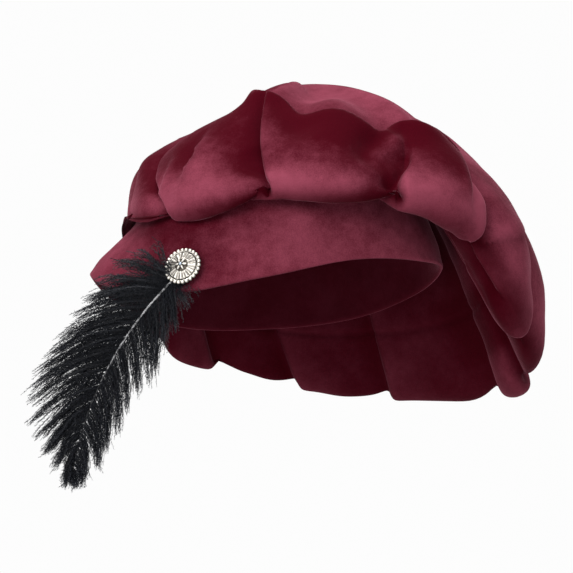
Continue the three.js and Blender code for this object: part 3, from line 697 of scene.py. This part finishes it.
MIDDLE_BEAD_LIFT = 0.75
MIDDLE_BEAD_HEIGHT = 0.8
MIDDLE_BEAD_ROWS = 14
SILVER_BRIGHT = (0.86, 0.82, 0.75, 1)
SILVER_BLUED = (0.42, 0.48, 0.55, 1)
SILVER_DARK = (0.07, 0.06, 0.05, 1)
# the setting's section: radius, height, and how much it is rubbed bright
SETTING_SECTION = np.array([
    [3.0, 0.0, 0.3], [8.6, 0.0, 0.3], [9.3, 0.25, 0.3], [9.6, 0.8, 0.3], [9.3, 1.4, 0.1], [8.95, 1.6, 0.5],
    [8.8, 1.95, 1.0], [8.62, 1.7, 0.6], [8.58, 1.3, 0.0], [8.55, 0.9, 0.0], [3.0, 0.9, 0.0],
])

spot, band_out, band_up = (v[0] for v in band_point(np.array([BROOCH_ANGLE]), np.array([BROOCH_HEIGHT])))
band_side = np.cross(band_up, band_out)
brooch_place = Matrix(np.column_stack([band_side, band_up, band_out]).tolist()).to_4x4()
brooch_place.translation = (spot + band_out * BROOCH_BACK) * MM


def disc(name, radii, heights, angles, rubbed):
    """A closed disc from rings of points, from the middle of its back to the middle of its front."""
    points = np.stack([radii * np.cos(angles), radii * np.sin(angles), heights], -1)
    ends = [points[0].mean(0), points[-1].mean(0)]
    rubbed = np.append(rubbed.ravel(), [0, rubbed[-1].mean()])
    points = np.concatenate([points.reshape(-1, 3), ends])
    return make_piece(name, points, capped_faces(*radii.shape), rubbed=rubbed)


def aged_silver(name, bright):
    """Silvered casting: bright where it is rubbed and nearly black in the hollows."""
    material, tree, plug = new_material(name)
    place = tree.add("ShaderNodeTexCoord")[3]
    grime = tree.noise(place, 900, 4)
    scratch = tree.noise(place, 5200, 2)
    shine = (tree.mark("rubbed") + (grime - 0.5) * 0.5).between(0.05, 0.95)
    plug("Base Color", tree.mix_colour(shine, SILVER_DARK, bright))
    plug("Metallic", 1.0)
    plug("Roughness", 0.5 - shine * 0.24 + scratch * 0.08)
    plug("Normal", tree.add("ShaderNodeBump", {"Height": scratch, "Strength": 0.25, "Distance": 0.0001})[0])
    return material


def new_group(name, **inputs):
    """A Geometry Nodes group with named inputs, its tree, and those inputs as values."""
    group = bpy.data.node_groups.new(name, "GeometryNodeTree")
    group.interface.new_socket("Geometry", in_out="OUTPUT", socket_type="NodeSocketGeometry")
    for key, kind in {"Geometry": "Geometry", **inputs}.items():
        group.interface.new_socket(key, in_out="INPUT", socket_type="NodeSocket" + kind)
    tree = Tree(group)
    source = group.nodes.new("NodeGroupInput")
    return group, tree, {socket.name: Value(tree, socket) for socket in source.outputs if socket.name}


def end_group(group, tree, parts, material):
    """Joins the parts, makes their copies real and gives them their material."""
    joined = group.nodes.new("GeometryNodeJoinGeometry")
    for part in parts:
        group.links.new(part.socket, joined.inputs[0])
    real = tree.add("GeometryNodeRealizeInstances", {0: Value(tree, joined.outputs[0])})[0]
    done = tree.add("GeometryNodeSetMaterial", {"Geometry": real, "Material": material})[0]
    group.links.new(done.socket, group.nodes.new("NodeGroupOutput").inputs[0])


def apply_group(piece, group, material, **settings):
    """Turns the piece into the plain mesh that the group makes of it, all in one material."""
    modifier = piece.modifiers.new(group.name, "NODES")
    modifier.node_group = group
    for item in group.interface.items_tree:
        if item.name in settings:
            modifier[item.identifier] = settings[item.name]
    bpy.context.view_layer.update()
    made = piece.evaluated_get(bpy.context.evaluated_depsgraph_get())
    piece.data = bpy.data.meshes.new_from_object(made)
    piece.modifiers.clear()
    piece.data.materials.clear()
    piece.data.materials.append(material)
    piece.data.polygons.foreach_set("material_index", np.zeros(len(piece.data.polygons), np.int32))


def settle(piece, slot, *nodes):
    """The piece stands for these CAD nodes and moves with the hat."""
    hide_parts(*nodes)
    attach(piece, "root")


silver = aged_silver("aged silver", SILVER_BRIGHT)
turn = np.linspace(0, 2 * math.pi, DISC_SIDES, endpoint=False)

radii, angles = np.meshgrid(SETTING_SECTION[:, 0], turn, indexing="ij")
heights = np.broadcast_to(SETTING_SECTION[:, 1:2], radii.shape)
rubbed = np.broadcast_to(SETTING_SECTION[:, 2:], radii.shape)
setting = disc("silver_setting", radii, heights, angles, rubbed)
group, tree, given = new_group("bead rim", Count="Int", Ring="Float", Level="Float", Bead="Float")
ring = tree.add("GeometryNodeMeshCircle", {"Vertices": given["Count"], "Radius": given["Ring"]})[0]
level = tree.add("ShaderNodeCombineXYZ", {"Z": given["Level"]})[0]
ring = tree.add("GeometryNodeSetPosition", {"Geometry": ring, "Offset": level})[0]
sphere = {"Segments": BEAD_SEGMENTS, "Rings": BEAD_RINGS, "Radius": given["Bead"]}
bead = tree.add("GeometryNodeMeshUVSphere", sphere)[0]
beads = tree.add("GeometryNodeInstanceOnPoints", {"Points": ring, "Instance": bead})[0]
beads = tree.add("GeometryNodeRealizeInstances", {"Geometry": beads})[0]
height = tree.add("ShaderNodeSeparateXYZ", {0: tree.add("GeometryNodeInputPosition")[0]})[2]
worn = (height - given["Level"]) * BEAD_RUB_PER_METRE + 0.1
marked = {"Geometry": beads, "Name": "rubbed", "Value": worn}
beads = tree.add("GeometryNodeStoreNamedAttribute", marked)[0]
beads = tree.add("GeometryNodeSetShadeSmooth", {"Geometry": beads})[0]
end_group(group, tree, [given["Geometry"], beads], silver)
apply_group(setting, group, silver, Count=BEAD_COUNT, Ring=BEAD_RING * MM, Level=BEAD_LEVEL * MM,
            Bead=BEAD_RADIUS * MM)
setting.data.transform(brooch_place)
settle(setting, "silver", "brooch_setting")

# three rings make the flat back and the edge, the others the front from the rim to the middle
back_rings = [0.3, 1.0, 1.0]
shares = np.concatenate([back_rings, np.linspace(0.985, 0.06, FACE_ROWS)])
share, angles = np.meshgrid(shares, turn, indexing="ij")
petal = np.mod(angles * FACE_PETALS / (2 * math.pi), 1)
scoop = np.sin(np.pi * petal) ** PETAL_ROUNDNESS
vein = bell(petal, 0.5, VEIN_WIDTH)
deep = smooth(*PETAL_COMES, share) * smooth(*PETAL_GOES, share)
radii = share * FACE_RADIUS * (1 - FACE_SCALLOP * (1 - scoop) * smooth(0.8, 1, share))
dome = FACE_BASE + FACE_EDGE + FACE_RISE * (1 - share ** 2)
heights = dome - deep * (PETAL_DEPTH * scoop - VEIN_RISE * vein)
heights[:3] = FACE_BASE
heights[2] += FACE_EDGE / 2
# worn bright, but for the scoops, the hollow round the flower and the rim, with bright veins
rubbed = 0.8 - 0.6 * deep * scoop + 0.4 * vein * deep
rubbed -= 0.7 * smooth(0.5, 0.42, share) + 0.6 * smooth(0.95, 1, share)
rubbed[:3] = 0
face = disc("silver_face", radii, heights, angles, rubbed)
face.data.materials.append(silver)
face.data.transform(brooch_place)
settle(face, "silver", "brooch_face")

shares = np.concatenate([[0.3, 1.0], np.linspace(1, 0.1, STAR_ROWS)])
share, angles = np.meshgrid(shares, turn, indexing="ij")
spread = (0.5 + 0.5 * np.cos(STAR_POINTS * angles)) ** STAR_SLIMNESS
radii = share * (STAR_WAIST + (STAR_RADIUS - STAR_WAIST) * spread)
ridge = STAR_EDGE + STAR_RISE * (1 - share) + STAR_RIDGE * spread * smooth(1, 0.6, share)
groove = bell(radii, 1.15 * MIDDLE_BEAD_RADIUS, STAR_GROOVE_WIDTH)
heights = STAR_BASE + ridge - STAR_GROOVE * groove
heights[:2] = STAR_BASE
# worn bright along the points, dark in the groove round the bead
rubbed = 0.25 + 0.75 * spread * smooth(1.02, 0.7, share) - groove
star = disc("silver_star", radii, heights, angles, rubbed)
star.data.materials.append(silver)
star.data.transform(brooch_place)
settle(star, "silver", "brooch_star")

tilts = np.radians(np.linspace(-88, 88, MIDDLE_BEAD_ROWS))
tilt, angles = np.meshgrid(tilts, turn[::6], indexing="ij")
radii = MIDDLE_BEAD_RADIUS * np.cos(tilt)
heights = STAR_BASE + MIDDLE_BEAD_LIFT + MIDDLE_BEAD_RADIUS * MIDDLE_BEAD_HEIGHT * np.sin(tilt)
middle_bead = disc("middle_bead", radii, heights, angles, smooth(-0.4, 0.7, tilt))
middle_bead.data.materials.append(aged_silver("blued silver", SILVER_BLUED))
middle_bead.data.transform(brooch_place)
settle(middle_bead, "silver")

steel, tree, plug = new_material("plain steel")
drawn = tree.noise(tree.add("ShaderNodeTexCoord")[3], 1400, 3)
plug("Base Color", tree.mix_colour(drawn, (0.34, 0.34, 0.35, 1), (0.5, 0.5, 0.5, 1)))
plug("Metallic", 1.0)
plug("Roughness", 0.3 + drawn * 0.2)
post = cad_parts["brooch_post"]
post.data.materials.clear()
post.data.materials.append(steel)

# Quill: the ostrich feather's shaft, a stripped and scraped stalk that tapers and bends in one
# round arc. It is pushed in behind the brooch, which hides its cut end.
FEATHER_LENGTH = 133.0
START_HEADING = 223.0
END_HEADING = 265.0
FEATHER_BOW = 5.0
SHAFT_INSET = 5.0
SHAFT_RADIUS = 1.1
SHAFT_SHARE = 0.93
GAP = 0.3
QUILL_STEPS = 110
QUILL_SIDES = 18
QUILL_TIP_RADIUS = 0.2
QUILL_TAPER = 0.62
QUILL_TAPER_POWER = 1.3
QUILL_GROOVE = 0.25
QUILL_GROOVE_WIDTH = 0.5

start_heading = math.radians(START_HEADING)
heading_turn = math.radians(END_HEADING - START_HEADING)
shaft_start = spot + band_out * (BAND_THICKNESS / 2 + GAP + SHAFT_RADIUS)
shaft_start = shaft_start + SHAFT_INSET * np.array([math.cos(start_heading), 0, math.sin(start_heading)])


def shaft_point(share):
    """The shaft's middle line."""
    share = np.asarray(share, float)
    radius = FEATHER_LENGTH / heading_turn
    heading = start_heading + heading_turn * share
    across = radius * (np.sin(heading) - math.sin(start_heading))
    down = -radius * (np.cos(heading) - math.cos(start_heading))
    return shaft_start + np.stack([across, FEATHER_BOW * np.sin(np.pi * share), down], -1)


def shaft_way(share):
    """Along the shaft, and across it towards the front of the hat."""
    heading = start_heading + heading_turn * np.asarray(share, float)
    flat = np.zeros_like(heading)
    along = np.stack([np.cos(heading), flat, np.sin(heading)], -1)
    return along, np.stack([np.sin(heading), flat, -np.cos(heading)], -1)


sides = np.arange(QUILL_SIDES) / QUILL_SIDES * 2 * math.pi
share, angle = np.meshgrid(np.linspace(0, SHAFT_SHARE, QUILL_STEPS), sides, indexing="ij")
width = QUILL_TIP_RADIUS + QUILL_TAPER * (1 - share) ** QUILL_TAPER_POWER
width *= 1 - QUILL_GROOVE * bell(angle, math.pi, QUILL_GROOVE_WIDTH)
across = shaft_way(share)[1]
round_shaft = across * np.sin(angle)[..., None] + np.array([0, -1, 0]) * np.cos(angle)[..., None]
quill_points = shaft_point(share) + round_shaft * width[..., None]
rows, columns = share.shape
cut_ends = [list(range(columns))[::-1], [(rows - 1) * columns + c for c in range(columns)]]
faces = grid_faces(rows, columns).tolist() + cut_ends
quill = make_piece("ostrich_quill", quill_points, faces, run=share)
horn, tree, plug = new_material("grey horn")
place = tree.add("ShaderNodeTexCoord")[3]
stretched = tree.add("ShaderNodeMapping", {"Vector": place, "Scale": (300, 3000, 300)})[0]
streak = tree.noise(stretched, 1, 3)
dyed = (tree.mark("run") + (streak - 0.5) * 0.1).between(0.36, 0.62)
plug("Base Color", tree.mix_colour(dyed, (0.36, 0.36, 0.37, 1), (0.012, 0.012, 0.014, 1)))
plug("Roughness", 0.35 + streak * 0.2)
plug("Normal", tree.add("ShaderNodeBump", {"Height": streak, "Strength": 0.3, "Distance": 0.0001})[0])
quill.data.materials.append(horn)
settle(quill, "quill", "feather_shaft")

# Plume: dyed ostrich barbs along both sides of the quill, each with soft barbules all round it.
# They cling together in pointed wisps, which sweep forward in front and droop behind.
BARBULE_SPACING = 0.42
BARBULE_LENGTH = 3.2
BARBULE_WIDTH = 0.42
BARBULE_SEED = 36
BARB_STEPS = 12
BARB_RADIUS = 0.26
BARB_TAPER = 0.75
BARBULE_TAPER = 0.7
BARBULE_TAPER_POWER = 2.5
PLUME_BLACK = (0.0045, 0.0048, 0.0062, 1)
PLUME_GREY = (0.013, 0.014, 0.018, 1)
# a barb's length as a share of its wisp's, where it is whole and where it is short
WHOLE_BARB = (0.86, 1.03)
SHORT_BARB = (0.4, 0.9)
# how far barbs cling to their wisp, and how they scatter: along the shaft, at the tip, in depth
WISP_CLING = (0.45, 0.95)
ROOT_SCATTER = 0.012
TIP_SCATTER = 1.1
DEPTH_LEAN = -1.0
DEPTH_SCATTER = 3.4
CURL = 0.9
CURL_TURNS = 1.3
# the way that a barb hangs at its tip, in front of the shaft and behind it
FRONT_SAG = (-0.55, 0, -0.8)
BACK_SAG = (-0.15, 0, -1.0)
LAST_ROOT = 0.985
# where a wisp leaves the shaft, as a share of its length, and its tip's place back and up
FRONT_WISPS = np.array([
    [0.00, -60, 22], [0.01, -72, 17], [0.03, -83, 10], [0.05, -92, -1], [0.08, -97, -11], [0.13, -104, -20],
    [0.19, -112, -31], [0.26, -118, -41], [0.32, -124, -50], [0.38, -128, -58], [0.44, -128, -67],
    [0.51, -127, -77], [0.58, -123, -86], [0.66, -119, -94], [0.76, -114, -102], [0.88, -108, -112],
    [0.97, -102, -113],
], float)
BACK_WISPS = np.array([
    [0.00, -35, -7], [0.02, -42, -15], [0.05, -49, -28], [0.10, -56, -40], [0.15, -59, -50],
    [0.22, -62, -57], [0.30, -69, -62], [0.38, -75, -72], [0.47, -79, -83], [0.58, -86, -93],
    [0.70, -89, -103], [0.84, -98, -112], [0.97, -101, -113],
], float)


def barbs(wisps, wing, until, count, full, seed):
    """Lines of points for one wing's barbs. wing is 1 in front of the shaft and -1 behind it."""
    draw = np.random.default_rng(seed)
    share = np.sort(draw.uniform(0, until, count))
    root = shaft_point(np.clip(share, 0, LAST_ROOT))
    down, across = shaft_way(share)
    own = np.stack([np.interp(share, wisps[:, 0], wisps[:, column]) for column in (1, 2)], -1)
    nearest = np.abs(share[:, None] - wisps[:, 0] - draw.normal(0, ROOT_SCATTER, (count, 1))).argmin(1)
    cling = draw.uniform(*WISP_CLING, count)[:, None]
    tip_side = own * (1 - cling) + wisps[nearest, 1:] * cling + draw.normal(0, TIP_SCATTER, (count, 2))
    whole = draw.uniform(size=count) < full
    reach = np.where(whole, draw.uniform(*WHOLE_BARB, count), draw.uniform(*SHORT_BARB, count))
    depth = root[:, 1] + draw.normal(DEPTH_LEAN, DEPTH_SCATTER, count)
    tip = np.stack([tip_side[:, 0], depth, tip_side[:, 1]], -1)
    tip = root + (tip - root) * reach[:, None]
    length = np.linalg.norm(tip - root, axis=1)[:, None]
    leave = across * wing * draw.uniform(0.7, 1.0, (count, 1)) + down * draw.uniform(0.5, 0.9, (count, 1))
    leave[:, 1] += draw.normal(-0.1, 0.25, count)
    sag = np.array(BACK_SAG if wing < 0 else FRONT_SAG)
    second = root + leave * length * 0.36
    third = tip - (0.5 * sag + 0.5 * (tip - root) / length) * length * 0.34
    t = np.linspace(0, 1, BARB_STEPS)[None, :, None]
    lines = (1 - t) ** 3 * root[:, None] + 3 * t * (1 - t) ** 2 * second[:, None]
    lines = lines + 3 * t ** 2 * (1 - t) * third[:, None] + t ** 3 * tip[:, None]
    curl = draw.normal(0, CURL, (count, 1, 3))
    wave = np.sin(2 * np.pi * (t * CURL_TURNS + draw.uniform(0, 1, (count, 1, 1))))
    return lines + curl * wave * t


# wisps, side of the shaft, how far down it they grow, how many, the share that is whole, seed
BARB_SETS = [
    (FRONT_WISPS, 1, 0.97, 590, 0.62, 31),
    (BACK_WISPS, -1, 0.97, 540, 0.58, 32),
    (FRONT_WISPS, 1, 0.12, 90, 0.4, 33),
    (BACK_WISPS, -1, 0.1, 70, 0.5, 34),
]
lines = np.concatenate([barbs(*barb_set) for barb_set in BARB_SETS])
count = len(lines)
way = np.gradient(lines, axis=1)
way /= np.linalg.norm(way, axis=-1, keepdims=True)
run = np.broadcast_to(np.linspace(0, 1, BARB_STEPS), (count, BARB_STEPS))
thick = BARB_RADIUS * (1 - BARB_TAPER * run) * MM
shade = np.repeat(np.random.default_rng(35).uniform(0, 1, (count, 1)), BARB_STEPS, 1)
first = np.arange(count)[:, None] * BARB_STEPS + np.arange(BARB_STEPS - 1)
edges = np.stack([first, first + 1], -1).reshape(-1, 2).tolist()
plume = make_piece("ostrich_plume", lines, [], edges=edges, way=way.reshape(-1, 3), run=run,
                   thick=thick, shade=shade)

feather, tree, plug = new_material("dyed ostrich")
uneven = tree.noise(tree.add("ShaderNodeTexCoord")[3], 90)
light = tree.mark("shade") * 0.5 + tree.mark("run") * 0.3 + uneven * 0.4
plug("Base Color", tree.mix_colour(light.between(0.35, 1.0), PLUME_BLACK, PLUME_GREY))
plug("Roughness", 0.62 - light * 0.2)
plug("Specular IOR Level", 0.22)
plug("Sheen Weight", 0.06)
plug("Sheen Tint", (0.7, 0.78, 1.0, 1))

group, tree, given = new_group("barbules", Spacing="Float", Length="Float", Width="Float", Seed="Int")
strands = tree.add("GeometryNodeMeshToCurve", {"Mesh": given["Geometry"]})[0]


def carried(name, kind="FLOAT"):
    """A value that the barbs carry by point."""
    return tree.add("GeometryNodeInputNamedAttribute", {"Name": name}, data_type=kind)[0]


profile = tree.add("GeometryNodeCurvePrimitiveCircle", {"Resolution": 3, "Radius": 1.0})[0]
stem = {"Curve": strands, "Profile Curve": profile, "Scale": carried("thick")}
stems = tree.add("GeometryNodeCurveToMesh", stem)[0]
dots = tree.add("GeometryNodeResampleCurve", {"Curve": strands, "Length": given["Spacing"]}, mode="LENGTH")[0]
blade = tree.add("GeometryNodeMeshCircle", {"Vertices": 3, "Radius": 1.0}, fill_type="NGON")[0]
# the three-cornered blade is 1 long and 1 wide, and starts a sixth of its length off the barb
unit_blade = {"Geometry": blade, "Translation": (0.5, 0, 0), "Scale": (0.667, 0.577, 1)}
blade = tree.add("GeometryNodeTransform", unit_blade)[0]
any_way = {0: (-1, -1, -1), 1: (1, 1, 1), "Seed": given["Seed"]}
any_way = tree.add("FunctionNodeRandomValue", any_way, data_type="FLOAT_VECTOR")[0]
lean = tree.add("ShaderNodeVectorMath", {0: carried("way", "FLOAT_VECTOR"), 1: any_way}, operation="ADD")[0]
turned = tree.add("FunctionNodeAlignRotationToVector", {"Vector": lean}, axis="X")[0]
any_length = {2: 0.55, 3: 1.0, "Seed": given["Seed"]}
any_length = tree.add("FunctionNodeRandomValue", any_length, data_type="FLOAT")[0]
taper = 1.0 - carried("run") ** BARBULE_TAPER_POWER * BARBULE_TAPER
length = given["Length"] * any_length * taper
size = tree.add("ShaderNodeCombineXYZ", {"X": length, "Y": given["Width"], "Z": 1.0})[0]
placed = {"Points": dots, "Instance": blade, "Rotation": turned, "Scale": size}
barbules = tree.add("GeometryNodeInstanceOnPoints", placed)[0]
end_group(group, tree, [stems, barbules], feather)
apply_group(plume, group, feather, Spacing=BARBULE_SPACING * MM, Length=BARBULE_LENGTH * MM,
            Width=BARBULE_WIDTH * MM, Seed=BARBULE_SEED)
settle(plume, "plume", "feather_vane")

# Stage: a pale floor under the held-up beret and a pale round wall, in soft studio light.
# The camera looks at the wearer's left from 1.6 m away and a little below, as the photo does.
CAMERA_TARGET = Vector((0.0117, 0, 0.0105))
CAMERA_LENS = 176
CAMERA_SENSOR = 36
FLOOR_LEVEL = -0.36
FLOOR_SIZE = 6.0
WALL_RADIUS = 2.6
WALL_TOP = 1.1
WALL_GLOW = 0.98
WALL_SIDES = 64
ROOM_LIGHT = 0.22

floor_corners = np.array([[-1, -1, 0], [1, -1, 0], [1, 1, 0], [-1, 1, 0]]) * FLOOR_SIZE / 2
floor_corners[:, 2] = FLOOR_LEVEL
floor = make_piece("floor", floor_corners / MM, [[0, 1, 2, 3]], flat=True)
floor_material, _, plug = new_material("pale floor")
plug("Base Color", (0.85, 0.85, 0.85, 1))
plug("Roughness", 0.8)
floor.data.materials.append(floor_material)

turn = np.linspace(0, 2 * math.pi, WALL_SIDES, endpoint=False)
ring = np.stack([np.cos(turn), np.sin(turn), 0 * turn], -1) * WALL_RADIUS
wall_points = np.stack([ring + [0, 0, FLOOR_LEVEL], ring + [0, 0, WALL_TOP]])
wall = make_piece("wall", wall_points / MM, grid_faces(2, WALL_SIDES)[:, ::-1])
wall_material = bpy.data.materials.new("pale wall")
wall_material.use_nodes = True
wall_material.node_tree.nodes.clear()
tree = Tree(wall_material.node_tree)
glow = tree.add("ShaderNodeEmission", {"Color": (1, 1, 1, 1), "Strength": WALL_GLOW})[0]
surface = wall_material.node_tree.nodes.new("ShaderNodeOutputMaterial").inputs["Surface"]
wall_material.node_tree.links.new(glow.socket, surface)
wall.data.materials.append(wall_material)

world = bpy.data.worlds.new("studio")
bpy.context.scene.world = world
world.use_nodes = True
sky = world.node_tree.nodes["Background"]
sky.inputs["Color"].default_value = (1, 1, 1, 1)
sky.inputs["Strength"].default_value = ROOM_LIGHT


def soft_light(name, place, size, power):
    """A square lamp that faces the hat."""
    light = bpy.data.lights.new(name, "AREA")
    light.size = size
    light.energy = power
    lamp = bpy.data.objects.new(name, light)
    bpy.context.scene.collection.objects.link(lamp)
    lamp.location = place
    lamp.rotation_mode = "QUATERNION"
    lamp.rotation_quaternion = (-Vector(place)).to_track_quat("-Z", "Y")


soft_light("top light", place=(-0.1, -0.15, 1.4), size=0.9, power=26)
soft_light("front light", place=(-0.8, -1.6, 0.5), size=1.0, power=26)

camera_data = bpy.data.cameras.new("camera")
camera_data.lens = CAMERA_LENS
camera_data.sensor_width = CAMERA_SENSOR
camera = bpy.data.objects.new("camera", camera_data)
bpy.context.scene.collection.objects.link(camera)
back = Vector((0, -math.cos(SIDE_TILT), -math.sin(SIDE_TILT)))
camera.location = CAMERA_TARGET + back * SIDE_DISTANCE * MM
camera.rotation_mode = "QUATERNION"
camera.rotation_quaternion = (-back).to_track_quat("-Z", "Y")
bpy.context.scene.camera = camera
bpy.context.scene.view_settings.view_transform = "Standard"
